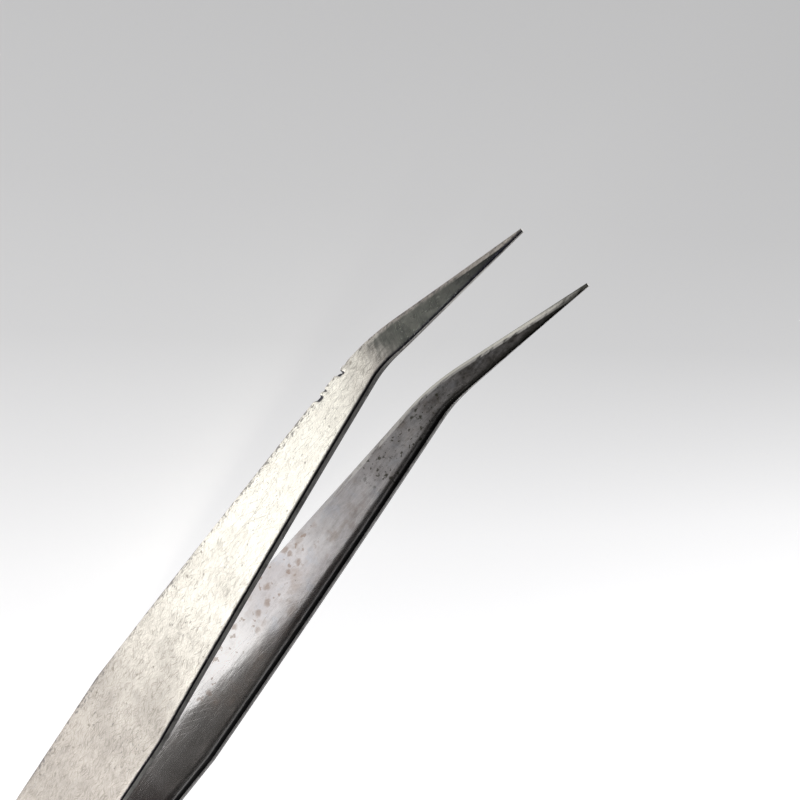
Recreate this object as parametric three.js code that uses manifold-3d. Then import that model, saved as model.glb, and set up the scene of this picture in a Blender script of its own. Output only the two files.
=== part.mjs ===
// Bent-nose fine-point tweezers, in millimetres.
// They stand on the lower long edges of their two arms: +X runs from the tail to the points,
// Y is the squeeze direction and +Z is up, towards the hollow side of the bend.
import * as THREE from "three";
import { mergeVertices } from "three/addons/utils/BufferGeometryUtils.js";
import Module from "manifold-3d";

const wasm = await Module();
wasm.setup();

// Stations along the arm, measured from the tail end.
const LENGTH = 120;
const WELD_END = 14; // the tails lie flat on each other up to here
const SHOULDER = 67.2; // the parallel edges end and the taper starts
const NECK = 104.4; // middle of the bend

// Broad face of an arm.
const WIDTH = 9.8;
const TAIL_END_WIDTH = 8.6;
const TAIL_TAPER = 26; // length over which the width grows from the tail end
const TAIL_CORNER = 3.4;
const NECK_WIDTH = 3.1;
const POINT_WIDTH = 0.34;
const BEND = THREE.MathUtils.degToRad(18.6);
const OUTER_BEND_EASE = 3.2; // how far before and after the bend its lower edge starts to curve
const INNER_BEND_EASE = 1.5;

// Sheet thickness, and how far the inner faces stand from the middle plane.
const SHEET = 1.07;
const POINT_THICKNESS = 0.26;
const SEAM = 0.02;
const SHOULDER_GAP = 3.05;
const SHOULDER_SLOPE = 0.071;
const NECK_GAP = 4.98;
const NECK_SLOPE = 0.031;
const POINT_GAP = 6;

// The arms flex about the point where a rigid arm best follows a bending one.
const FLEX_SHARE = 0.15;
const FLEX_STATION = WELD_END + FLEX_SHARE * (LENGTH - WELD_END);
const FLEX_SLIT = 0.1;

// Spot welds between the tails.
const WELD_STATIONS = { weld_spot_rear: 4.6, weld_spot_front: 10.4 };
const WELD_RADIUS = 1.5;
const WELD_HALF_HEIGHT = 0.25;
const WELD_POCKET_CLEARANCE = 0.3;

// Ground facet along the upper edge of each point, with a short ramp where it starts.
const FACET_TILT = THREE.MathUtils.degToRad(9);
const FACET_START = NECK + 0.8;
const FACET_STRIP = 0.35; // flat strip left along the lower edge
const FACET_RAMP = 1.2;
const FACET_RAMP_RISE = 0.6;

const CURVE_STEPS = 14;
const SPARE = 5; // how far cutting bodies reach past what they cut

function toSolid(geometry) {
  const bare = geometry.clone();
  bare.deleteAttribute("normal");
  bare.deleteAttribute("uv");
  const merged = mergeVertices(bare, 1e-5);
  return new wasm.Manifold(new wasm.Mesh({
    numProp: 3,
    vertProperties: new Float32Array(merged.attributes.position.array),
    triVerts: new Uint32Array(merged.index.array),
  }));
}

function toGeometry(solid) {
  const mesh = solid.getMesh();
  const geometry = new THREE.BufferGeometry();
  geometry.setAttribute("position", new THREE.BufferAttribute(mesh.vertProperties, 3));
  geometry.setIndex(new THREE.BufferAttribute(mesh.triVerts, 1));
  geometry.computeVertexNormals();
  return geometry;
}

function extrude(shape, depth) {
  return new THREE.ExtrudeGeometry(shape, { depth, bevelEnabled: false, curveSegments: CURVE_STEPS });
}

function boxSolid(low, high) {
  const size = high.clone().sub(low);
  const box = new THREE.BoxGeometry(size.x, size.y, size.z);
  const middle = low.clone().add(high).multiplyScalar(0.5);
  return toSolid(box.translate(middle.x, middle.y, middle.z));
}

// Eases a corner of a path, from `ease` before it to `ease` after it.
function easeCorner(path, corner, next, ease) {
  const before = path.currentPoint.clone().sub(corner).setLength(ease).add(corner);
  const after = next.clone().sub(corner).setLength(ease).add(corner);
  path.lineTo(before.x, before.y);
  path.quadraticCurveTo(corner.x, corner.y, after.x, after.y);
}

// Outline of the broad face: station along X, height along Z.
function faceOutline() {
  const middle = WIDTH / 2;
  const along = new THREE.Vector2(Math.cos(BEND), Math.sin(BEND));
  const across = new THREE.Vector2(-along.y, along.x);
  const bisector = new THREE.Vector2(-Math.sin(BEND / 2), Math.cos(BEND / 2));
  const neck = new THREE.Vector2(NECK, middle);
  const point = neck.clone().addScaledVector(along, (LENGTH - NECK) / along.x);
  const halfNeck = NECK_WIDTH / 2 / Math.cos(BEND / 2);
  const lowerNeck = neck.clone().addScaledVector(bisector, -halfNeck);
  const upperNeck = neck.clone().addScaledVector(bisector, halfNeck);
  const lowerPoint = point.clone().addScaledVector(across, -POINT_WIDTH / 2);
  const upperPoint = point.clone().addScaledVector(across, POINT_WIDTH / 2);
  const upperShoulder = new THREE.Vector2(SHOULDER, WIDTH);
  const tailLow = middle - TAIL_END_WIDTH / 2;
  const tailHigh = middle + TAIL_END_WIDTH / 2;

  const outline = new THREE.Shape();
  outline.moveTo(0, tailLow + TAIL_CORNER);
  outline.quadraticCurveTo(0, tailLow, TAIL_CORNER, tailLow);
  outline.lineTo(TAIL_TAPER, 0);
  outline.lineTo(SHOULDER, 0);
  easeCorner(outline, lowerNeck, lowerPoint, OUTER_BEND_EASE);
  outline.lineTo(lowerPoint.x, lowerPoint.y);
  outline.lineTo(upperPoint.x, upperPoint.y);
  easeCorner(outline, upperNeck, upperShoulder, INNER_BEND_EASE);
  outline.lineTo(SHOULDER, WIDTH);
  outline.lineTo(TAIL_TAPER, WIDTH);
  outline.lineTo(TAIL_CORNER, tailHigh);
  outline.quadraticCurveTo(0, tailHigh, 0, tailHigh - TAIL_CORNER);
  return outline;
}

// One curve of the arm's bow, as a cubic that leaves and arrives with the given slopes.
function bowCurve(start, startSlope, end, endSlope) {
  const third = (end.x - start.x) / 3;
  return new THREE.CubicBezierCurve(
    start,
    new THREE.Vector2(start.x + third, start.y + startSlope * third),
    new THREE.Vector2(end.x - third, end.y - endSlope * third),
    end,
  );
}

// The bow of a face that lies `offset` outside the inner face, from the weld to the neck.
function bowPoints(offset) {
  const weld = new THREE.Vector2(WELD_END, SEAM + offset);
  const shoulder = new THREE.Vector2(SHOULDER, SHOULDER_GAP + offset);
  const neck = new THREE.Vector2(NECK, NECK_GAP + offset);
  const rear = bowCurve(weld, 0, shoulder, SHOULDER_SLOPE);
  const front = bowCurve(shoulder, SHOULDER_SLOPE, neck, NECK_SLOPE);
  return [...rear.getPoints(CURVE_STEPS), ...front.getPoints(CURVE_STEPS).slice(1)];
}

// Outline of the arm seen from above: station along X, distance from the middle plane along Y.
function bowOutline() {
  const inner = [new THREE.Vector2(0, SEAM), ...bowPoints(0), new THREE.Vector2(LENGTH, POINT_GAP)];
  const outerPoint = new THREE.Vector2(LENGTH, POINT_GAP + POINT_THICKNESS);
  const outer = [new THREE.Vector2(0, SEAM + SHEET), ...bowPoints(SHEET), outerPoint];
  return new THREE.Shape([...inner, ...outer.reverse()]);
}

// The block that grinds the tilted facet off the outer face of the point. Its edge follows the
// point's lower edge, which the point's own taper turns past the bend.
function facetCutter() {
  const pointLength = (LENGTH - NECK) / Math.cos(BEND);
  const taper = Math.atan((NECK_WIDTH - POINT_WIDTH) / 2 / pointLength);
  const reach = pointLength + SPARE;
  const profile = new THREE.Shape([
    new THREE.Vector2(-FACET_RAMP, FACET_RAMP_RISE),
    new THREE.Vector2(0, 0),
    new THREE.Vector2(reach, 0),
    new THREE.Vector2(reach, SPARE),
    new THREE.Vector2(-FACET_RAMP, SPARE),
  ]);
  const cutter = extrude(profile, SPARE);
  cutter.rotateX(FACET_TILT);
  cutter.rotateY(-BEND - taper);
  cutter.rotateZ(Math.atan((POINT_GAP + POINT_THICKNESS - NECK_GAP - SHEET) / (LENGTH - NECK)));
  const edgeHeight = (WIDTH - NECK_WIDTH) / 2 + (FACET_START - NECK) * Math.tan(BEND + taper);
  cutter.translate(FACET_START, NECK_GAP + SHEET, edgeHeight + FACET_STRIP);
  return toSolid(cutter);
}

function weldPocket(station) {
  const depth = 2 * (WELD_HALF_HEIGHT + WELD_POCKET_CLEARANCE);
  const pocket = new THREE.CylinderGeometry(
    WELD_RADIUS + WELD_POCKET_CLEARANCE, WELD_RADIUS + WELD_POCKET_CLEARANCE, depth, 36,
  );
  return toSolid(pocket.translate(station, 0, WIDTH / 2));
}

// The whole +Y arm as one solid, before it is parted at its flex line.
function armSolid() {
  const face = extrude(faceOutline(), 4 * SPARE);
  face.rotateX(Math.PI / 2);
  face.translate(0, 3 * SPARE, 0);
  const bow = extrude(bowOutline(), WIDTH + 2 * SPARE);
  bow.translate(0, 0, -SPARE);
  let arm = toSolid(face).intersect(toSolid(bow)).subtract(facetCutter());
  for (const station of Object.values(WELD_STATIONS)) {
    arm = arm.subtract(weldPocket(station));
  }
  return arm;
}

// The stretch of an arm between two stations.
function stretch(arm, from, to) {
  const low = new THREE.Vector3(from, -4 * SPARE, -SPARE);
  const high = new THREE.Vector3(to, 4 * SPARE, WIDTH + 2 * SPARE);
  return arm.intersect(boxSolid(low, high));
}

// A weld spot: a flat lens of fused steel.
function weldSpot() {
  const rim = WELD_HALF_HEIGHT / 2;
  const profile = [
    new THREE.Vector2(0, -WELD_HALF_HEIGHT),
    new THREE.Vector2(WELD_RADIUS * 0.7, -WELD_HALF_HEIGHT),
    new THREE.Vector2(WELD_RADIUS, -rim),
    new THREE.Vector2(WELD_RADIUS, rim),
    new THREE.Vector2(WELD_RADIUS * 0.7, WELD_HALF_HEIGHT),
    new THREE.Vector2(0, WELD_HALF_HEIGHT),
  ];
  return new THREE.LatheGeometry(profile, 36);
}

function steel(name, color, roughness) {
  return new THREE.MeshStandardMaterial({ name, color, roughness, metalness: 1 });
}

function addMesh(parent, name, geometry, material) {
  const mesh = new THREE.Mesh(geometry, material);
  mesh.name = name;
  parent.add(mesh);
  return mesh;
}

const tweezers = new THREE.Group();
tweezers.position.x = -LENGTH / 2;

const leftArm = armSolid();
const arms = { left: leftArm, right: leftArm.mirror([0, 1, 0]) };
for (const [side, arm] of Object.entries(arms)) {
  const tail = stretch(arm, -SPARE, FLEX_STATION - FLEX_SLIT / 2);
  const blade = stretch(arm, FLEX_STATION + FLEX_SLIT / 2, LENGTH + SPARE);
  addMesh(tweezers, `${side}_tail`, toGeometry(tail), steel("satin_steel", 0xb9b4aa, 0.45));
  addMesh(tweezers, `${side}_blade`, toGeometry(blade), steel("satin_steel", 0xc2bdb2, 0.42));
}

for (const [name, station] of Object.entries(WELD_STATIONS)) {
  const spot = addMesh(tweezers, name, weldSpot(), steel("weld_steel", 0x8f8a80, 0.6));
  spot.position.set(station, 0, WIDTH / 2);
}

export default tweezers;
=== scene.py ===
"""Bent-nose fine-point tweezers: two sprung steel arms, spot welded at the tail."""

import math

import bpy
from mathutils import Matrix, Vector, noise


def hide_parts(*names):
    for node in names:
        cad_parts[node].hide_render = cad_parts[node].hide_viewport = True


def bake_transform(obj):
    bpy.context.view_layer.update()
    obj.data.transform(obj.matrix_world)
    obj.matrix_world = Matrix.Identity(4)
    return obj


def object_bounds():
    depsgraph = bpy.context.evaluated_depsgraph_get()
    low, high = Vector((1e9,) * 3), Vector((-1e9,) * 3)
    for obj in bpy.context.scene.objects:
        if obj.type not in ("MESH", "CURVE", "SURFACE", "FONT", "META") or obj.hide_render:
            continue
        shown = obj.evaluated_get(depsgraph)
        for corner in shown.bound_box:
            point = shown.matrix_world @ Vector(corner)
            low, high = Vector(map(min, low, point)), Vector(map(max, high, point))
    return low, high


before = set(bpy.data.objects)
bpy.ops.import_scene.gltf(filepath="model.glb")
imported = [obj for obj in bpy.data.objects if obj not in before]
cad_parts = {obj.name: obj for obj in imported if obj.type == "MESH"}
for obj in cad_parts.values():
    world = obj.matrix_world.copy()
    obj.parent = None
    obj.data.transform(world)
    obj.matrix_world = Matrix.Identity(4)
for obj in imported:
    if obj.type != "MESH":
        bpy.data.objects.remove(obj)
size_at_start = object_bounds()

MM = 0.001
TAIL_END_X = size_at_start[0].x / MM

# The arm's driving dimensions, in millimetres, as its solids have them.
# Stations run along X from the tail end, and heights up from the lower long edge.
LENGTH = 120
WELD_END = 14
SHOULDER = 67.2
NECK = 104.4
WIDTH = 9.8
TAIL_END_WIDTH = 8.6
TAIL_TAPER = 26
TAIL_CORNER = 3.4
NECK_WIDTH = 3.1
POINT_WIDTH = 0.34
BEND = math.radians(18.6)
LOWER_BEND_EASE = 3.2
UPPER_BEND_EASE = 1.5
SHEET = 1.07
POINT_THICKNESS = 0.26
SEAM = 0.02
SHOULDER_GAP = 3.05
SHOULDER_SLOPE = 0.071
NECK_GAP = 4.98
NECK_SLOPE = 0.031
POINT_GAP = 6
WELD_STATIONS = (4.6, 10.4)

# The finished corners and edges, in millimetres.
LOWER_OUTER_CORNER = 0.13
UPPER_OUTER_CORNER = 0.24
EDGE_DROP = 0.06  # how much lower the upper edge's outer side is than its inner side
EDGE_ROLL = 0.42  # how deep the inner face rolls over towards each long edge
TAIL_ROLL_REACH = 0.5  # how far across the face the roll starts, at the tail
BLADE_ROLL_REACH = 1.1  # the same, on the blade
BLADE_ROLL_STATION = 50  # where the blade's roll has its full reach

# Where the arm narrows, a feature takes at most this share of its width or thickness.
LOWER_CORNER_WIDTH_SHARE = 0.25
LOWER_CORNER_THICKNESS_SHARE = 0.2
UPPER_CORNER_WIDTH_SHARE = 0.2
UPPER_CORNER_THICKNESS_SHARE = 0.4
ROLL_WIDTH_SHARE = 0.3
ROLL_THICKNESS_SHARE = 0.4
STRIP_WIDTH_SHARE = 0.3

# The facet ground on the outer face of each point, in millimetres.
FACET_TILT = math.radians(9)
FACET_STRIP = 0.5  # the strip left unground along the lower edge
FACET_START = NECK + 0.1
FACET_FADE = 2.6
FACET_SLANT = 0.25  # how much later the facet starts, for each millimetre up the face
FACET_EASE_BELOW = 0.1
FACET_EASE_ABOVE = 0.05

# The shallow round marks of the welding electrodes.
DIMPLE_RADIUS = 1.75
DIMPLE_DEPTH = 0.09
DIMPLE_FLAT = 0.5  # share of the radius over which a mark is at its deepest

# Knocks on the left arm's lower outer corner: station, half length and depth.
CHIPS = ((98.4, 0.45, 0.26), (99.3, 0.25, 0.13), (101.2, 0.45, 0.3), (102.2, 0.2, 0.09))
CHIP_FLAT = 0.3  # share of the half length over which a knock is at its deepest
CHIP_REACH = 0.8  # how far from the corner a knock reaches, across the face and into the edge
CHIP_INWARD = 0.5  # how far a knock goes into the outer face, for each step up it
RAGGED_COARSE = 4.2  # waves for each millimetre of a knock's uneven outline
RAGGED_FINE = 9
COARSE_ROW = (3.1, 4)  # where in the noise the coarse and the fine waves are read
FINE_ROW = (1.7, 2)
FINE_SHARE = 0.5
RAGGED_LEAST = 0.2  # the least, the middle and the swing of its depth, as shares of the depth above
RAGGED_MEAN = 0.9
RAGGED_SWING = 1.2

# Painted shade on the inner faces, 0 to 1. The upper half of the left arm is lighter than the lower one,
# the upper half of the right arm is darker, and both darken in steps: from, to, level reached.
UPPER_HALF = (5, 7.5)
LEFT_PAINTED_SHADE = 0.88
LEFT_UPPER_RELIEF = 0.3
RIGHT_UPPER_PAINTED_SHADE = 0.35
PAINTED_SHADE_STEPS = ((84, 92, 0.46), (92, 99, 0.68), (99, NECK, 0.84), (NECK, 111, 0.93), (112, 118, 1.0))

# Loops along each stretch of the arm, and columns across each side of it.
LOOPS = {"corner": 14, "tail": 80, "body": 90, "taper": 260, "bend": 28, "point": 80}
OUTER_COLUMNS = 26
INNER_COLUMNS = 10
OUTER_ARC = 4
INNER_ARC = 9
SHARP_ANGLE = math.radians(35)

# Where the right arm's pattern and the edges' pattern start, clear of the left arm's faces.
RIGHT_PATTERN = 360
EDGE_PATTERN = 20


# ---------------------------------------------------------------- the arm's shape

def smoothstep(low, high, x):
    t = min(1.0, max(0.0, (x - low) / (high - low)))
    return t * t * (3 - 2 * t)


def cubic(x, start, end):
    """Value at x of the cubic between two (x, value, slope) ends."""
    span = end[0] - start[0]
    t = (x - start[0]) / span
    s = 1 - t
    second = start[1] + start[2] * span / 3
    third = end[1] - end[2] * span / 3
    return s ** 3 * start[1] + 3 * s * s * t * second + 3 * s * t * t * third + t ** 3 * end[1]


def inner_gap(station):
    """How far the inner face stands from the middle plane."""
    shoulder = (SHOULDER, SHOULDER_GAP, SHOULDER_SLOPE)
    if station <= WELD_END:
        return SEAM
    if station <= SHOULDER:
        return cubic(station, (WELD_END, SEAM, 0), shoulder)
    if station <= NECK:
        return cubic(station, shoulder, (NECK, NECK_GAP, NECK_SLOPE))
    return NECK_GAP + (POINT_GAP - NECK_GAP) * (station - NECK) / (LENGTH - NECK)


def sheet_thickness(station):
    past_neck = max(0.0, (station - NECK) / (LENGTH - NECK))
    return SHEET + (POINT_THICKNESS - SHEET) * past_neck


def line_points(start, end, count):
    return [start.lerp(end, i / count) for i in range(1, count + 1)]


def ease_points(start, corner, end, count):
    shares = [i / count for i in range(1, count + 1)]
    return [start.lerp(corner, t).lerp(corner.lerp(end, t), t) for t in shares]


def long_edge(side):
    """The lower (side -1) or upper (side 1) outline of the broad face, from tail to point."""
    middle = WIDTH / 2
    along = Vector((math.cos(BEND), math.sin(BEND)))
    across = Vector((-along.y, along.x))
    bisector = Vector((-math.sin(BEND / 2), math.cos(BEND / 2)))
    neck = Vector((NECK, middle))
    corner = neck + bisector * side * NECK_WIDTH / 2 / math.cos(BEND / 2)
    reach = (LENGTH - NECK - POINT_WIDTH / 2 * math.sin(BEND)) / along.x
    point = neck + along * reach + across * side * POINT_WIDTH / 2
    shoulder = Vector((SHOULDER, middle + side * middle))
    taper = Vector((TAIL_TAPER, shoulder.y))
    tail_side = Vector((TAIL_CORNER, middle + side * TAIL_END_WIDTH / 2))
    tail_end = Vector((0, tail_side.y - side * TAIL_CORNER))
    ease = LOWER_BEND_EASE if side < 0 else UPPER_BEND_EASE
    ease_in = corner + (shoulder - corner).normalized() * ease
    ease_out = corner + (point - corner).normalized() * ease
    points = [tail_end]
    points += ease_points(tail_end, Vector((0, tail_side.y)), tail_side, LOOPS["corner"])
    points += line_points(tail_side, taper, LOOPS["tail"])
    points += line_points(taper, shoulder, LOOPS["body"])
    points += line_points(shoulder, ease_in, LOOPS["taper"])
    points += ease_points(ease_in, corner, ease_out, LOOPS["bend"])
    points += line_points(ease_out, point, LOOPS["point"])
    return points


def corner_insets(reach, drop, steps):
    """(inset from the long edge, inset from the face) round a corner, face first."""
    turns = [math.pi / 2 * i / steps for i in range(steps + 1)]
    return [(reach * (1 - math.sin(turn)), drop * (1 - math.cos(turn))) for turn in turns]


def outer_insets(width, thickness):
    """The lower and the upper outer corner's insets, and how far the upper edge slopes."""
    lower_round = min(
        LOWER_OUTER_CORNER, LOWER_CORNER_WIDTH_SHARE * width, LOWER_CORNER_THICKNESS_SHARE * thickness)
    upper_round = min(
        UPPER_OUTER_CORNER, UPPER_CORNER_WIDTH_SHARE * width, UPPER_CORNER_THICKNESS_SHARE * thickness)
    drop = EDGE_DROP * upper_round / UPPER_OUTER_CORNER
    lower = corner_insets(lower_round, lower_round, OUTER_ARC)
    upper = [(a + drop, d) for a, d in corner_insets(upper_round, upper_round, OUTER_ARC)]
    return lower, upper, drop


def section(station, width):
    """The loop round the arm, as (rise from the lower edge, depth from the outer face, zone)."""
    thickness = sheet_thickness(station)
    lower_outer, upper_outer, drop = outer_insets(width, thickness)
    blade_share = smoothstep(WELD_END, BLADE_ROLL_STATION, station)
    reach = TAIL_ROLL_REACH + (BLADE_ROLL_REACH - TAIL_ROLL_REACH) * blade_share
    reach = min(reach, ROLL_WIDTH_SHARE * width)
    inner = corner_insets(reach, min(EDGE_ROLL, ROLL_THICKNESS_SHARE * thickness), INNER_ARC)
    strip = min(FACET_STRIP, STRIP_WIDTH_SHARE * width)
    face = width - upper_outer[0][0] - strip

    loop = [(a, d, "outer") for a, d in reversed(lower_outer)]
    loop += [(strip + face * i / OUTER_COLUMNS, 0, "outer") for i in range(OUTER_COLUMNS)]
    loop += [(width - a, d, "outer") for a, d in upper_outer[:-1]]
    loop.append((width - drop, upper_outer[-1][1], "edge"))
    loop += [(width - a, thickness - d, "inner") for a, d in reversed(inner)]
    for i in range(1, INNER_COLUMNS):
        loop.append((width - reach - (width - 2 * reach) * i / INNER_COLUMNS, thickness, "inner"))
    loop += [(a, thickness - d, "inner") for a, d in inner[:-1]]
    loop.append((0, thickness - inner[-1][1], "edge"))
    return loop


def facet_share(station, rise):
    """0 where the outer face is as stamped, 1 where the point's facet is ground."""
    start = station - FACET_SLANT * rise
    along = smoothstep(FACET_START - FACET_FADE, FACET_START + FACET_FADE, start)
    return along * smoothstep(FACET_STRIP - FACET_EASE_BELOW, FACET_STRIP + FACET_EASE_ABOVE, rise)


def facet_depth(station, rise):
    """How much the ground facet takes off the outer face, `rise` above the lower edge."""
    return facet_share(station, rise) * math.tan(FACET_TILT) * max(0.0, rise - FACET_STRIP)


def dimple_depth(station, height):
    """The shallow round marks that the welding electrodes leave."""
    depth = 0
    for weld in WELD_STATIONS:
        distance = math.hypot(station - weld, height - WIDTH / 2)
        depth += DIMPLE_DEPTH * (1 - smoothstep(DIMPLE_RADIUS * DIMPLE_FLAT, DIMPLE_RADIUS, distance))
    return depth


def tail_end_draw(station):
    """How far both faces draw in right at the tail end."""
    inset = max(0.0, LOWER_OUTER_CORNER - station)
    return LOWER_OUTER_CORNER - math.sqrt(LOWER_OUTER_CORNER ** 2 - inset ** 2)


def chip_depth(station, side):
    """Knocks on the left arm's lower outer corner, behind the bend, with a ragged outline."""
    if side < 0:
        return 0
    depth = 0
    for middle, reach, deepest in CHIPS:
        bite = 1 - smoothstep(CHIP_FLAT * reach, reach, abs(station - middle))
        depth = max(depth, deepest * bite)
    coarse = noise.noise(Vector((station * RAGGED_COARSE, *COARSE_ROW)))
    fine = noise.noise(Vector((station * RAGGED_FINE, *FINE_ROW)))
    ragged = coarse + FINE_SHARE * fine
    return depth * max(RAGGED_LEAST, RAGGED_MEAN + RAGGED_SWING * ragged)


def surface_point(lower, upper, rise, depth, side):
    """A point of the arm, in metres, from its place in the section."""
    width = (upper - lower).length
    middle = lower.lerp(upper, 0.5).x
    near_corner = max(0.0, 1 - rise / CHIP_REACH) * max(0.0, 1 - depth / CHIP_REACH)
    chip = chip_depth(lower.x, side) * near_corner
    spot = lower.lerp(upper, (rise + chip) / width)
    share = depth / sheet_thickness(middle)
    inner_y = inner_gap(spot.x) + tail_end_draw(spot.x)
    outer_y = inner_gap(spot.x) + sheet_thickness(spot.x) - tail_end_draw(spot.x)
    outer_y -= facet_depth(spot.x, rise) + dimple_depth(spot.x, spot.y) + CHIP_INWARD * chip
    y = outer_y + (inner_y - outer_y) * share
    return Vector((TAIL_END_X + spot.x, side * y, spot.y)) * MM


def painted_shade(station, height, side):
    """The inner face's painted shade, 0 to 1: deepest at the points."""
    upper_half = smoothstep(*UPPER_HALF, height)
    level = LEFT_PAINTED_SHADE - LEFT_UPPER_RELIEF * upper_half if side > 0 else RIGHT_UPPER_PAINTED_SHADE * upper_half
    for low, high, reached in PAINTED_SHADE_STEPS:
        share = smoothstep(low, high, station)
        level = max(level, reached) * share + level * (1 - share)
    return level


def skin_points(side):
    """The skin's points, loop by loop: each one's place, its place on the flat pattern, and its marks."""
    vertices = []
    places = []
    marks = {"ground": [], "rise": [], "fall": [], "chip": [], "painted_shade": []}
    for lower, upper in zip(long_edge(-1), long_edge(1)):
        width = (upper - lower).length
        middle = lower.lerp(upper, 0.5).x
        for rise, depth, _ in section(middle, width):
            vertices.append(surface_point(lower, upper, rise, depth, side))
            spot = lower.lerp(upper, rise / width)
            places.append((spot, rise < width / 2, depth))
            near_corner = max(0.0, 1 - max(rise, depth) / CHIP_REACH)
            marks["ground"].append(facet_share(spot.x, rise))
            marks["rise"].append(rise)
            marks["fall"].append(width - rise)
            marks["chip"].append(chip_depth(lower.x, side) * near_corner)
            marks["painted_shade"].append(painted_shade(spot.x, spot.y, side))
    return vertices, places, marks


def skin_faces(count):
    """Quads between each loop and the next, and a face over each end, with the zone of each."""
    column_zones = [zone for _, _, zone in section(0, TAIL_END_WIDTH)]
    around = len(column_zones)
    faces = []
    zones = []
    for start in range(0, count - around, around):
        for k in range(around):
            a = start + k
            b = start + (k + 1) % around
            faces.append((a, b, b + around, a + around))
            zones.append(column_zones[k])
    last = count - around
    faces += [tuple(range(around))[::-1], tuple(range(last, last + around))]
    zones += ["edge", "edge"]
    return faces, zones


def arm_mesh(name, side, slots):
    """One arm as a closed skin between its two long edges. slots names each material's zone."""
    vertices, places, marks = skin_points(side)
    faces, zones = skin_faces(len(vertices))
    if side < 0:
        faces = [face[::-1] for face in faces]
    mesh = bpy.data.meshes.new(name)
    mesh.from_pydata(vertices, [], faces)
    mesh.polygons.foreach_set("material_index", [slots.index(zone) for zone in zones])
    write_flat_pattern(mesh, places, zones, side)
    for mark, values in marks.items():
        mesh.attributes.new(mark, "FLOAT", "POINT").data.foreach_set("value", values)
    return mesh


def write_flat_pattern(mesh, places, zones, side):
    """UVs in millimetres: station along the arm, and height on a face or depth on an edge."""
    along = 0 if side > 0 else RIGHT_PATTERN
    layer = mesh.uv_layers.new(name="flat_pattern")
    for polygon, zone in zip(mesh.polygons, zones):
        for loop_index in polygon.loop_indices:
            spot, is_lower, depth = places[mesh.loops[loop_index].vertex_index]
            across = spot.y
            if zone == "edge":
                across = EDGE_PATTERN + depth + (EDGE_PATTERN if is_lower else 0)
            layer.data[loop_index].uv = (spot.x + along, across)


# ---------------------------------------------------------------- a material's nodes

SHIFT_ACROSS = 0.37  # a noise layer's shift across the arm, for each step of its shift along it
STROKE_FADE = 0.05
SPOT_WAVES = 2.2  # waves in each cell of the noise that pushes a spot's outline about
SPOT_WANDER = 0.35  # how far it pushes, as a share of the cell
SPOT_CORE = 0.35  # share of a spot's reach that is solid


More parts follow.
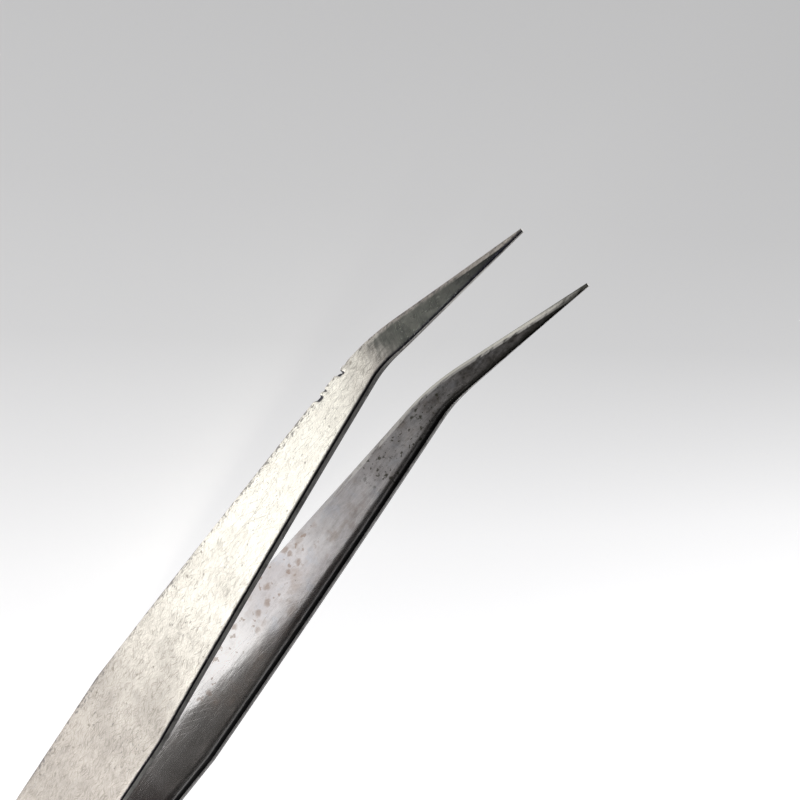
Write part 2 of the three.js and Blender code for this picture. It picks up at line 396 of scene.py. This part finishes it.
class Graph:
    """A material's node tree, with one short call for each kind of node."""

    def __init__(self, name):
        self.material = bpy.data.materials.new(name)
        self.material.use_nodes = True
        self.tree = self.material.node_tree
        self.shader = self.tree.nodes["Principled BSDF"]

    def node(self, kind, **settings):
        made = self.tree.nodes.new(kind)
        for key, value in settings.items():
            setattr(made, key, value)
        return made

    def feed(self, socket, value):
        if isinstance(value, bpy.types.NodeSocket):
            self.tree.links.new(value, socket)
        else:
            socket.default_value = value

    def math(self, operation, a, b=0.0, clamp=False):
        made = self.node("ShaderNodeMath", operation=operation, use_clamp=clamp)
        self.feed(made.inputs[0], a)
        self.feed(made.inputs[1], b)
        return made.outputs[0]

    def product(self, *values):
        total = values[0]
        for value in values[1:]:
            total = self.math("MULTIPLY", total, value)
        return total

    def added(self, *values):
        total = values[0]
        for value in values[1:]:
            total = self.math("ADD", total, value)
        return total

    def largest(self, *values):
        total = values[0]
        for value in values[1:]:
            total = self.math("MAXIMUM", total, value)
        return total

    def ramp(self, value, low, high, to_low=0.0, to_high=1.0):
        made = self.node("ShaderNodeMapRange", interpolation_type="SMOOTHSTEP")
        self.feed(made.inputs["Value"], value)
        self.feed(made.inputs["From Min"], low)
        self.feed(made.inputs["From Max"], high)
        self.feed(made.inputs["To Min"], to_low)
        self.feed(made.inputs["To Max"], to_high)
        return made.outputs["Result"]

    def ramp_linear(self, value, low, high):
        made = self.node("ShaderNodeMapRange")
        self.feed(made.inputs["Value"], value)
        made.inputs["From Min"].default_value = low
        made.inputs["From Max"].default_value = high
        return made.outputs["Result"]

    def window(self, value, low, high, fade):
        """1 between low and high, fading to 0 outside."""
        rising = self.ramp(value, low - fade, low)
        falling = self.ramp(value, high, high + fade, 1.0, 0.0)
        return self.product(rising, falling)

    def mix(self, share, a, b):
        made = self.node("ShaderNodeMix", data_type="RGBA")
        self.feed(made.inputs[0], share)
        self.feed(made.inputs[6], a)
        self.feed(made.inputs[7], b)
        return made.outputs[2]

    def coat(self, colour, mask, strength, over):
        """A colour, and over it another one where the mask is 1, at some strength."""
        return self.mix(self.math("MULTIPLY", mask, strength), colour, over)

    def pattern(self):
        """The arm's flat pattern, in millimetres."""
        return self.node("ShaderNodeUVMap", uv_map="flat_pattern").outputs["UV"]

    def station(self, flat):
        """Distance along either arm from its tail end, in millimetres."""
        split = self.node("ShaderNodeSeparateXYZ")
        self.feed(split.inputs[0], flat)
        return self.math("MODULO", split.outputs["X"], float(RIGHT_PATTERN))

    def mark(self, name):
        """A value that the mesh carries at each point."""
        return self.node("ShaderNodeAttribute", attribute_name=name).outputs["Fac"]

    def turned(self, vector, angle, length, width, shift=0.0):
        """The pattern turned by an angle, so that noise on it is drawn out to length by width."""
        turn = self.node("ShaderNodeVectorRotate", rotation_type="Z_AXIS")
        self.feed(turn.inputs["Vector"], vector)
        turn.inputs["Angle"].default_value = math.radians(angle)
        stretch = self.node("ShaderNodeMapping")
        self.feed(stretch.inputs["Vector"], turn.outputs["Vector"])
        stretch.inputs["Scale"].default_value = (1 / length, 1 / width, 1)
        stretch.inputs["Location"].default_value = (shift, SHIFT_ACROSS * shift, 0)
        return stretch.outputs["Vector"]

    def noise(self, vector, scale=1.0, detail=2.0, roughness=0.5, distortion=0.0):
        made = self.node("ShaderNodeTexNoise", noise_dimensions="2D")
        self.feed(made.inputs["Vector"], vector)
        made.inputs["Scale"].default_value = scale
        made.inputs["Detail"].default_value = detail
        made.inputs["Roughness"].default_value = roughness
        made.inputs["Distortion"].default_value = distortion
        return made.outputs["Fac"]

    def bent(self, vector, scale, amount):
        """The pattern pushed about by a noise, so that straight marks wander."""
        wander = self.node("ShaderNodeTexNoise", noise_dimensions="2D")
        self.feed(wander.inputs["Vector"], vector)
        wander.inputs["Scale"].default_value = scale
        push = self.node("ShaderNodeVectorMath", operation="MULTIPLY_ADD")
        self.feed(push.inputs[0], wander.outputs["Color"])
        push.inputs[1].default_value = (amount, amount, 0)
        self.feed(push.inputs[2], vector)
        return push.outputs["Vector"]

    def strokes(self, vector, kinds, cut):
        """Short tapering scratches: 1 on a stroke, 0 off it."""
        layers = []
        for angle, length, width, shift in kinds:
            field = self.noise(self.turned(vector, angle, length, width, shift), detail=1.0)
            layers.append(self.ramp(field, cut, cut + STROKE_FADE))
        return self.largest(*layers)

    def spots(self, vector, cell, share, size):
        """Round-ish spots in a share of the cells: 1 on a spot, 0 off it."""
        cells = self.node("ShaderNodeTexVoronoi", voronoi_dimensions="2D", feature="F1")
        self.feed(cells.inputs["Vector"], self.bent(vector, SPOT_WAVES / cell, SPOT_WANDER * cell))
        cells.inputs["Scale"].default_value = 1 / cell
        split = self.node("ShaderNodeSeparateColor")
        self.feed(split.inputs["Color"], cells.outputs["Color"])
        chosen = self.math("LESS_THAN", split.outputs["Red"], share)
        reach = self.math("MULTIPLY", split.outputs["Green"], size)
        inner_reach = self.math("MULTIPLY", reach, SPOT_CORE)
        return self.product(chosen, self.ramp(cells.outputs["Distance"], inner_reach, reach, 1.0, 0.0))

    def bump(self, height, distance):
        made = self.node("ShaderNodeBump")
        made.inputs["Distance"].default_value = distance
        self.feed(made.inputs["Height"], height)
        return made.outputs["Normal"]

    def finish(self, colour, roughness, normal):
        self.feed(self.shader.inputs["Base Color"], colour)
        self.feed(self.shader.inputs["Roughness"], roughness)
        self.feed(self.shader.inputs["Normal"], normal)
        self.shader.inputs["Metallic"].default_value = 1.0
        return self.material


# ---------------------------------------------------------------- the outer faces' material

# Handling scratches: angle to the arm, length and width in millimetres, and a shift.
HAIRLINES = (
    (-5, 1.7, 0.085, 1.7),
    (15, 1.5, 0.08, 9.1),
    (-28, 1.3, 0.08, 17.3),
    (44, 1.1, 0.08, 23.9),
)
FINE_HAIRLINES = (
    (-10, 1.0, 0.055, 51.7),
    (8, 1.1, 0.055, 63.1),
    (30, 0.9, 0.055, 77.3),
    (-50, 0.8, 0.055, 83.9),
)
LONG_SCRATCHES = (
    (3, 14.0, 0.12, 5.2),
    (-9, 11.0, 0.11, 12.9),
    (-38, 9.0, 0.12, 28.4),
)
LONG_SCRATCH_CUT = 0.70
OUTER_BUMP = 0.000007  # depth of the relief, in metres

# Between these pairs of stations the satin takes a painted highlight and gives it up again, and the points
# take painted shade.
HIGHLIGHT_START = (61, 91)
HIGHLIGHT_END = (97, 109)
POINT_DARKENING = (110, 118)
GRINDING_ANGLE = 62
WEAR_REACH = 0.9  # how far up the face from the lower edge the worn specks thin out
# Painted shade: the outer face darkens towards its upper edge.
UPPER_CORNER_SHADE = (0.08, 0.4)  # down the face from the upper edge, all dark to all light

SATIN_DARK = (0.35, 0.325, 0.302, 1)
SATIN_PALE = (0.425, 0.395, 0.367, 1)
SATIN_PAINTED_HIGHLIGHT = (0.95, 0.93, 0.855, 1)
SATIN_MOTTLE = (0.44, 0.42, 0.385, 1)
SATIN_GRAIN = (0.42, 0.40, 0.37, 1)
FINE_HAIR = (0.22, 0.20, 0.175, 1)
HAIR = (0.17, 0.15, 0.13, 1)
SCRATCH = (0.30, 0.28, 0.25, 1)
SPECK = (0.14, 0.12, 0.10, 1)
WEAR = (0.10, 0.095, 0.10, 1)
KNOCK_PAINTED_SHADE = (0.02, 0.02, 0.035, 1)
GROUND_DARK = (0.10, 0.104, 0.094, 1)
GROUND_PALE = (0.14, 0.143, 0.128, 1)
GROUND_LINE = (0.23, 0.23, 0.205, 1)
POINT_PAINTED_SHADE = (0.02, 0.02, 0.022, 1)
UPPER_CORNER_PAINTED_SHADE = (0.02, 0.02, 0.028, 1)


def satin(g, flat, station):
    """The satin's colour, mottle and grain, and where it carries a painted highlight, 0 to 1."""
    cloud = g.noise(flat, 0.2, detail=4.0, roughness=0.6)
    mottle = g.noise(g.turned(flat, 0, 1.0, 0.55), detail=4.0, roughness=0.65)
    grain = g.noise(flat, 6.0, detail=2.0, roughness=0.7)
    clouded = g.math("ADD", station, g.ramp(cloud, 0.3, 0.7, -2.0, 2.0))
    painted_highlight = g.product(g.ramp(clouded, *HIGHLIGHT_START), g.ramp(clouded, *HIGHLIGHT_END, 1.0, 0.0))
    colour = g.mix(g.ramp(cloud, 0.3, 0.7), SATIN_DARK, SATIN_PALE)
    # Painted highlight: the satin is lightened over a stretch before the neck.
    colour = g.coat(colour, painted_highlight, 0.97, SATIN_PAINTED_HIGHLIGHT)
    colour = g.mix(g.ramp(mottle, 0.5, 0.75, 0.0, 0.28), colour, SATIN_MOTTLE)
    colour = g.mix(g.ramp(grain, 0.5, 0.75, 0.0, 0.22), colour, SATIN_GRAIN)
    return colour, mottle, grain, painted_highlight


def handling_marks(g, flat, colour, painted_highlight):
    """The colour under hairlines, scratches and specks, and where the deeper marks are."""
    wandering = g.bent(flat, 1.1, 0.45)
    hairs = g.strokes(wandering, HAIRLINES, 0.66)
    fine_hairs = g.strokes(wandering, FINE_HAIRLINES, 0.61)
    scratches = g.strokes(flat, LONG_SCRATCHES, LONG_SCRATCH_CUT)
    specks = g.spots(flat, 1.3, 0.22, 0.16)
    colour = g.coat(colour, fine_hairs, g.ramp(painted_highlight, 0.3, 1.0, 0.34, 0.2), FINE_HAIR)
    colour = g.coat(colour, hairs, g.ramp(painted_highlight, 0.3, 1.0, 0.6, 0.34), HAIR)
    colour = g.coat(colour, scratches, 0.4, SCRATCH)
    colour = g.coat(colour, specks, 0.6, SPECK)
    return colour, g.largest(hairs, scratches)


def corner_wear(g, flat, colour):
    """The colour with specks worn through it in patches by the lower edge, and painted shade in the
    knocks.
    """
    dashes = g.noise(g.turned(flat, 0, 0.42, 0.2), detail=3.0, roughness=0.6)
    closeness = g.ramp(g.mark("rise"), 0.0, WEAR_REACH, 0.155, -0.04)
    patches = g.ramp(g.noise(flat, 0.16), 0.4, 0.62, -0.05, 0.05)
    wear = g.ramp(g.added(dashes, closeness, patches), 0.66, 0.72)
    # Painted shade: the knocks are darkened as if in shadow.
    knock_shade = g.ramp(g.mark("chip"), 0.02, 0.1)
    colour = g.coat(colour, wear, 0.7, WEAR)
    return g.coat(colour, knock_shade, 0.95, KNOCK_PAINTED_SHADE)


def ground_metal_shaded(g, flat, station):
    """The grey of the metal ground at the points, kept dark as painted shade and darkest at the very
    points, and the fine lines across it.
    """
    lines = g.noise(g.turned(flat, GRINDING_ANGLE, 0.9, 0.06), detail=3.0)
    cloud = g.noise(flat, 0.9, detail=4.0, roughness=0.6)
    # Painted shade: the ground facet's grey is kept dark, and darker still towards the points.
    colour = g.mix(g.ramp(cloud, 0.3, 0.7), GROUND_DARK, GROUND_PALE)
    colour = g.mix(g.ramp(lines, 0.5, 0.75, 0.0, 0.4), colour, GROUND_LINE)
    colour = g.mix(g.ramp(station, *POINT_DARKENING, 0.0, 0.85), colour, POINT_PAINTED_SHADE)
    return colour, lines


def ground_area(g, flat):
    """Where the points are ground, 0 to 1, with a streaky limit."""
    streak = g.noise(g.turned(flat, GRINDING_ANGLE, 1.8, 0.35), detail=3.0, roughness=0.6)
    ragged = g.math("ADD", g.mark("ground"), g.ramp(streak, 0.3, 0.7, -0.1, 0.1))
    return g.ramp(ragged, 0.05, 0.95)


def outer_steel():
    """Outer faces: satin cream-grey under dense short hairlines, with a painted highlight, and ground
    darker at the points in painted shade.
    """
    g = Graph("outer_steel")
    flat = g.pattern()
    station = g.station(flat)
    colour, mottle, grain, painted_highlight = satin(g, flat, station)
    colour, deep_marks = handling_marks(g, flat, colour, painted_highlight)
    colour = corner_wear(g, flat, colour)
    ground_colour, lines = ground_metal_shaded(g, flat, station)
    ground = ground_area(g, flat)
    colour = g.mix(ground, colour, ground_colour)
    # Painted shade along the upper edge of the outer face.
    corner = g.ramp(g.mark("fall"), *UPPER_CORNER_SHADE, 1.0, 0.0)
    colour = g.coat(colour, corner, 0.96, UPPER_CORNER_PAINTED_SHADE)

    smoother = g.math("MULTIPLY", g.largest(ground, corner), 0.24)
    roughness = g.math("SUBTRACT", g.ramp(mottle, 0.3, 0.75, 0.50, 0.60), smoother)
    height = g.math("SUBTRACT", g.math("MULTIPLY", grain, 0.7), g.math("MULTIPLY", deep_marks, 0.4))
    height = g.math("ADD", height, g.product(lines, ground, 0.5))
    return g.finish(colour, roughness, g.bump(height, OUTER_BUMP))


# ---------------------------------------------------------------- the inner faces' material

# Stretches of the arm between two stations: the one with a painted highlight, the rusty one and the pitted
# one.
HIGHLIGHT_STRETCH = (64, 76)
HIGHLIGHT_FADE = 5
RUST_STRETCH = (71, 87)
RUST_LIMIT = (3.0, 3.8)  # down the face from the upper edge, no rust to full rust
PIT_STRETCH = (96, 106)
CORROSION_FADE = 3

# Bands along the long edges, in millimetres from the edge, and the stations where they change: an olive
# rim, then painted light, a reflected streak, a highlight along the point and shade over the roll.
OLIVE_RIM = (0.05, 0.22)
REFLECTED_STREAK_BAND = (0.25, 0.62)
REFLECTED_STREAK_FADE = 0.16
REFLECTED_STREAK_START = (86, 96)
BEVEL_BAND = (0.14, 0.4)
BEVEL_FADE = 0.1
BEVEL_START = (99, 105)
BEVEL_END = (113, 119)
ROLL_SHADE = (0.0, 0.75)
INNER_BUMP = 0.00002

POLISH_DARK = (0.66, 0.625, 0.625, 1)
POLISH_PALE = (0.78, 0.755, 0.755, 1)
SMEAR = (0.47, 0.42, 0.40, 1)
POLISH_MOTTLE = (0.42, 0.38, 0.36, 1)
WARM_STAIN = (0.46, 0.37, 0.31, 1)
COOL_STAIN = (0.66, 0.69, 0.75, 1)
PAINTED_HIGHLIGHT_STEEL = (0.98, 0.96, 0.94, 1)
PAINTED_SHADE_DARK = (0.03, 0.028, 0.025, 1)
RUST = (0.28, 0.17, 0.10, 1)
PIT = (0.03, 0.03, 0.018, 1)
OLIVE = (0.045, 0.045, 0.028, 1)
STREAK_PAINTED_REFLECTION = (0.72, 0.70, 0.66, 1)
BEVEL_PAINTED_HIGHLIGHT = (0.80, 0.78, 0.70, 1)
ROLL_PAINTED_SHADE = (0.015, 0.015, 0.013, 1)
BRIGHT_SCRATCH = (0.80, 0.76, 0.73, 1)


def polish(g, flat, station):
    """The half-polished steel's colour, with a painted highlight over one stretch, and its smears and
    mottle.
    """
    cloud = g.noise(flat, 0.22, detail=4.0, roughness=0.6, distortion=0.5)
    smear = g.noise(g.turned(flat, 3, 2.4, 1.0), detail=5.0, roughness=0.65)
    mottle = g.noise(flat, 2.2, detail=4.0, roughness=0.65)
    stain = g.noise(flat, 0.42, detail=4.0, roughness=0.62)
    inner_highlight = g.window(station, *HIGHLIGHT_STRETCH, HIGHLIGHT_FADE)
    colour = g.mix(g.ramp(cloud, 0.3, 0.7), POLISH_DARK, POLISH_PALE)
    colour = g.mix(g.ramp(smear, 0.45, 0.75, 0.0, 0.3), colour, SMEAR)
    colour = g.mix(g.ramp(mottle, 0.48, 0.75, 0.0, 0.25), colour, POLISH_MOTTLE)
    colour = g.mix(g.ramp(stain, 0.5, 0.72, 0.0, 0.5), colour, WARM_STAIN)
    colour = g.mix(g.ramp(stain, 0.28, 0.46, 0.4, 0.0), colour, COOL_STAIN)
    # Painted highlight: one stretch of the inner face is lightened almost to white.
    colour = g.coat(colour, inner_highlight, 0.8, PAINTED_HIGHLIGHT_STEEL)
    return colour, smear, mottle


def patchy_painted_shade(g, smear, mottle):
    """The mesh's painted shade, 0 to 1, made uneven."""
    patchy = g.math("ADD", g.mark("painted_shade"), g.ramp(smear, 0.3, 0.7, -0.05, 0.05))
    return g.math("ADD", patchy, g.ramp(mottle, 0.3, 0.7, 0.04, -0.04), clamp=True)


def corrosion(g, flat, station, colour):
    """The colour under rust specks and blotches, and pits by the neck, and where they all are."""
    rust_zone = g.window(station, *RUST_STRETCH, CORROSION_FADE)
    rust_zone = g.product(rust_zone, g.ramp(g.mark("fall"), *RUST_LIMIT))
    blotches = g.ramp(g.noise(flat, 1.2, detail=3.0, roughness=0.55), 0.64, 0.70)
    rust = g.product(g.largest(g.spots(flat, 1.15, 0.32, 0.5), blotches), rust_zone)
    colour = g.coat(colour, rust, 0.5, RUST)

    corroded = g.ramp(g.noise(flat, 2.6, detail=4.0, roughness=0.65), 0.62, 0.67)
    pits = g.largest(g.spots(flat, 0.75, 0.4, 0.4), corroded)
    pits = g.product(pits, g.window(station, *PIT_STRETCH, CORROSION_FADE))
    stray = g.math("MULTIPLY", g.spots(flat, 2.3, 0.3, 0.09), 0.7)
    pits = g.largest(pits, stray)
    colour = g.coat(colour, pits, 0.85, PIT)
    return colour, g.largest(rust, pits)


def edge_bands(g, flat, station, colour):
    """The colour with the bands along the long edges, most of them painted light, and where the rough ones
    are.
    """
    olive = g.ramp(g.noise(flat, 2.2, detail=3.0), 0.42, 0.6)
    rim = g.product(g.ramp(g.mark("rise"), *OLIVE_RIM, 1.0, 0.0), olive)
    colour = g.coat(colour, rim, 0.85, OLIVE)

    streak = g.noise(g.turned(flat, 8, 1.6, 0.5), detail=3.0, roughness=0.6)
    # Painted reflection: a light streak along the edge.
    reflected_streak = g.window(g.mark("rise"), *REFLECTED_STREAK_BAND, REFLECTED_STREAK_FADE)
    reflected_streak = g.product(reflected_streak, g.ramp(station, *REFLECTED_STREAK_START), g.ramp(streak, 0.3, 0.5))
    colour = g.coat(colour, reflected_streak, 0.55, STREAK_PAINTED_REFLECTION)

    # Painted highlight: a light band along the point's lower edge.
    bevel_highlight = g.window(g.mark("rise"), *BEVEL_BAND, BEVEL_FADE)
    bevel_highlight = g.product(bevel_highlight, g.ramp(station, *BEVEL_START), g.ramp(station, *BEVEL_END, 1.0, 0.3))
    colour = g.coat(colour, bevel_highlight, 0.75, BEVEL_PAINTED_HIGHLIGHT)

    # Painted shade: the inner face darkens over the roll towards the upper edge.
    roll = g.ramp(g.mark("fall"), *ROLL_SHADE, 1.0, 0.0)
    colour = g.coat(colour, roll, 0.93, ROLL_PAINTED_SHADE)
    return colour, g.largest(reflected_streak, bevel_highlight)


def inner_steel():
    """Inner faces: half polished, with painted shade and painted light, rust specks, pits and fine
    scratches.
    """
    g = Graph("inner_steel")
    flat = g.pattern()
    station = g.station(flat)
    colour, smear, mottle = polish(g, flat, station)
    # Painted shade: the inner faces are darkened where their reflections are dark, most at the points.
    colour = g.mix(patchy_painted_shade(g, smear, mottle), colour, PAINTED_SHADE_DARK)
    colour, corroded = corrosion(g, flat, station, colour)
    colour, rough_bands = edge_bands(g, flat, station, colour)
    unshaded = g.math("SUBTRACT", 1.0, g.mark("painted_shade"))
    scratches = g.product(g.strokes(flat, LONG_SCRATCHES, LONG_SCRATCH_CUT), unshaded)
    colour = g.coat(colour, scratches, 0.25, BRIGHT_SCRATCH)

    corroded_roughness = g.math("MULTIPLY", corroded, 0.06)
    painted_shade_roughness = g.math("MULTIPLY", g.mark("painted_shade"), 0.12)
    band_roughness = g.math("MULTIPLY", rough_bands, 0.25)
    roughness = g.ramp(smear, 0.3, 0.75, 0.13, 0.19)
    roughness = g.added(roughness, corroded_roughness, painted_shade_roughness, band_roughness)
    ripple = g.noise(g.turned(flat, 0, 2.5, 1.4), detail=3.0, roughness=0.5)
    height = g.math("SUBTRACT", ripple, g.math("MULTIPLY", g.largest(corroded, scratches), 0.06))
    return g.finish(colour, roughness, g.bump(height, INNER_BUMP))


# ---------------------------------------------------------------- the edges' and welds' materials

EDGE_DARK = (0.48, 0.47, 0.455, 1)
EDGE_PALE = (0.70, 0.685, 0.665, 1)
EDGE_STAIN = (0.14, 0.13, 0.12, 1)
EDGE_BARE = (0.82, 0.80, 0.78, 1)
EDGE_KNOCK_PAINTED_SHADE = (0.03, 0.03, 0.045, 1)
WELD_DARK = (0.30, 0.28, 0.26, 1)
WELD_PALE = (0.42, 0.39, 0.35, 1)
HEAT_TINT = (0.33, 0.22, 0.12, 1)
EDGE_BUMP = 0.000008
WELD_BUMP = 0.00002
WELD_GRAIN = 2600  # waves of the noise in each metre
TINT_PATCHES = 700


def edge_steel():
    """Long edges and ends: sheared and linished, with fine lines along them."""
    g = Graph("edge_steel")
    flat = g.pattern()
    lines = g.noise(g.turned(flat, 0, 1.6, 0.05), detail=3.0, roughness=0.6)
    stain = g.noise(flat, 0.9, detail=4.0, roughness=0.6)
    bare = g.noise(flat, 2.1, detail=2.0)
    colour = g.mix(g.ramp(lines, 0.3, 0.7), EDGE_DARK, EDGE_PALE)
    colour = g.mix(g.ramp(stain, 0.48, 0.7, 0.0, 0.5), colour, EDGE_STAIN)
    colour = g.mix(g.ramp(bare, 0.6, 0.7, 0.0, 0.35), colour, EDGE_BARE)
    # Painted shade: knocks on the edges are darkened as if in shadow.
    colour = g.coat(colour, g.ramp(g.mark("chip"), 0.04, 0.3), 0.9, EDGE_KNOCK_PAINTED_SHADE)
    return g.finish(colour, g.ramp(lines, 0.3, 0.7, 0.42, 0.54), g.bump(lines, EDGE_BUMP))


def weld_steel():
    """The weld spots between the tails: dull, with patches of heat tint."""
    g = Graph("weld_steel")
    place = g.node("ShaderNodeTexCoord").outputs["Object"]
    rough = g.noise(place, WELD_GRAIN, detail=4.0, roughness=0.6)
    tint = g.noise(place, TINT_PATCHES)
    colour = g.mix(g.ramp(rough, 0.3, 0.7), WELD_DARK, WELD_PALE)
    colour = g.mix(g.ramp(tint, 0.45, 0.65, 0.0, 0.5), colour, HEAT_TINT)
    return g.finish(colour, g.ramp(rough, 0.3, 0.7, 0.45, 0.65), g.bump(rough, WELD_BUMP))


# ---------------------------------------------------------------- the object

def build_arms():
    finishes = {"outer": outer_steel(), "inner": inner_steel(), "edge": edge_steel()}
    for name, side in (("left", 1), ("right", -1)):
        mesh = arm_mesh(f"{name}_arm_skin", side, list(finishes))
        for material in finishes.values():
            mesh.materials.append(material)
        mesh.shade_smooth()
        mesh.set_sharp_from_angle(angle=SHARP_ANGLE)
        arm = bpy.data.objects.new(f"{name}_arm_skin", mesh)
        bpy.context.collection.objects.link(arm)
        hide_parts(f"{name}_tail", f"{name}_blade")
        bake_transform(arm)


def dress_welds():
    finish = weld_steel()
    for name in ("weld_spot_rear", "weld_spot_front"):
        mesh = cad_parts[name].data
        mesh.materials.clear()
        mesh.materials.append(finish)


# ---------------------------------------------------------------- floor, light and camera

# The floor, in metres: a flat disc in two rings, a sweep and a low wall.
FLOOR_RADIUS = 0.9
FLOOR_INNER_RING = 0.5  # share of the radius
WALL_SWEEP = 0.2
WALL_TOP = 0.26
FLOOR_STEPS = 96
SWEEP_STEPS = 8

# The paper's painted light falloff: the direction it darkens in, how far it takes, and (share of that,
# level).
SHADE_DIRECTION = (0.93, 0.37, 0)
SHADE_REACH = 0.1
SHADE_STEPS = (
    (0.0, 1.0),
    (0.1, 0.94),
    (0.2, 0.86),
    (0.3, 0.73),
    (0.42, 0.59),
    (0.55, 0.53),
    (0.7, 0.49),
    (1.0, 0.43),
)
SHADE_BLUE = 1.01
FLOOR_GLOW = 0.94
FLOOR_ALBEDO = 0.4  # share of the shade that is the paper's own colour
FLOOR_ROUGHNESS = 0.9

# Softboxes aimed at the object: name, place, width and height in metres, and watts.
SOFTBOXES = (
    ("overhead", (-0.85, 0.0, 0.85), 1.0, 1.0, 4),
    ("left_low", (-0.6, 0.53, 0.05), 0.5, 0.11, 15.5),
    ("right_front_low", (0.6, -0.53, 0.05), 0.5, 0.11, 6),
    ("right_rear_low", (-0.6, -0.53, 0.05), 0.5, 0.11, 1.7),
)
LIGHT_COLOUR = (1.0, 0.985, 0.95)
WORLD_COLOUR = (0.04, 0.04, 0.044, 1)

CAMERA_LENS = 95.1
CAMERA_SENSOR = 36
CAMERA_CLIP = 0.01
CAMERA_PLACE = (0.05250, 0.14528, 0.11512)
CAMERA_FORWARD = (-0.05593, -0.79759, -0.60061)
CAMERA_RIGHT = (0.59134, -0.51116, 0.62373)


def floor_mesh():
    """A round floor that sweeps up into a low wall."""
    profile = [(FLOOR_RADIUS * FLOOR_INNER_RING, 0), (FLOOR_RADIUS, 0)]
    for i in range(1, SWEEP_STEPS + 1):
        turn = math.pi / 2 * i / SWEEP_STEPS
        profile.append((FLOOR_RADIUS + WALL_SWEEP * math.sin(turn), WALL_SWEEP * (1 - math.cos(turn))))
    profile.append((FLOOR_RADIUS + WALL_SWEEP, WALL_TOP))
    turns = [2 * math.pi * k / FLOOR_STEPS for k in range(FLOOR_STEPS)]
    vertices = [(0, 0, 0)]
    for radius, height in profile:
        vertices += [(radius * math.cos(turn), radius * math.sin(turn), height) for turn in turns]
    faces = []
    for k in range(FLOOR_STEPS):
        after = (k + 1) % FLOOR_STEPS
        faces.append((0, 1 + k, 1 + after))
        for ring in range(len(profile) - 1):
            base = 1 + ring * FLOOR_STEPS
            faces.append((base + k, base + FLOOR_STEPS + k, base + FLOOR_STEPS + after, base + after))
    mesh = bpy.data.meshes.new("pale_floor")
    mesh.from_pydata(vertices, [], faces)
    mesh.shade_smooth()
    return mesh


def painted_light_falloff(g):
    """The paper's painted light falloff: white at the tail, and light grey beyond the points."""
    place = g.node("ShaderNodeTexCoord").outputs["Object"]
    along = g.node("ShaderNodeVectorMath", operation="DOT_PRODUCT")
    g.feed(along.inputs[0], place)
    along.inputs[1].default_value = SHADE_DIRECTION
    shade = g.node("ShaderNodeValToRGB")
    g.feed(shade.inputs["Fac"], g.ramp_linear(along.outputs["Value"], 0.0, SHADE_REACH))
    while len(shade.color_ramp.elements) < len(SHADE_STEPS):
        shade.color_ramp.elements.new(0.5)
    for element, (position, level) in zip(shade.color_ramp.elements, SHADE_STEPS):
        element.position = position
        element.color = (level, level, level * SHADE_BLUE, 1)
    return shade.outputs["Color"]


def floor_paper():
    """Graduated matt paper that glows a little, so that shadows on it stay faint: the glow and its grading
    are painted light.
    """
    g = Graph("graduated_paper")
    shade = painted_light_falloff(g)
    g.feed(g.shader.inputs["Base Color"], g.mix(FLOOR_ALBEDO, (0, 0, 0, 1), shade))
    g.feed(g.shader.inputs["Emission Color"], shade)
    g.shader.inputs["Emission Strength"].default_value = FLOOR_GLOW
    g.shader.inputs["Roughness"].default_value = FLOOR_ROUGHNESS
    g.shader.inputs["Specular IOR Level"].default_value = 0.0
    return g.material


def pale_floor():
    mesh = floor_mesh()
    mesh.materials.append(floor_paper())
    floor = bpy.data.objects.new("pale_floor", mesh)
    bpy.context.collection.objects.link(floor)


def softbox(name, place, width, height, watts):
    """A rectangular light aimed at the object, which the camera doesn't see."""
    light = bpy.data.lights.new(name, "AREA")
    light.shape = "RECTANGLE"
    light.size = width
    light.size_y = height
    light.energy = watts
    light.color = LIGHT_COLOUR
    lamp = bpy.data.objects.new(name, light)
    lamp.location = place
    aim = Vector((0, 0, 0)) - Vector(place)
    lamp.rotation_euler = aim.to_track_quat("-Z", "Y").to_euler()
    lamp.visible_camera = False
    bpy.context.collection.objects.link(lamp)


def studio_light():
    world = bpy.data.worlds.new("studio")
    world.use_nodes = True
    world.node_tree.nodes["Background"].inputs["Color"].default_value = WORLD_COLOUR
    bpy.context.scene.world = world
    for box in SOFTBOXES:
        softbox(*box)
    bpy.context.scene.view_settings.view_transform = "Standard"


def photo_camera():
    """Seen from the left arm's side and above, rolled so that the arms run up to the right."""
    view = bpy.data.cameras.new("camera")
    view.lens = CAMERA_LENS
    view.sensor_width = CAMERA_SENSOR
    view.clip_start = CAMERA_CLIP
    camera = bpy.data.objects.new("camera", view)
    forward = Vector(CAMERA_FORWARD)
    right = Vector(CAMERA_RIGHT)
    up = right.cross(forward)
    rotation = Matrix((right, up, -forward)).transposed()
    camera.rotation_euler = rotation.to_euler()
    camera.location = CAMERA_PLACE
    bpy.context.collection.objects.link(camera)
    bpy.context.scene.camera = camera


build_arms()
dress_welds()
pale_floor()
studio_light()
photo_camera()
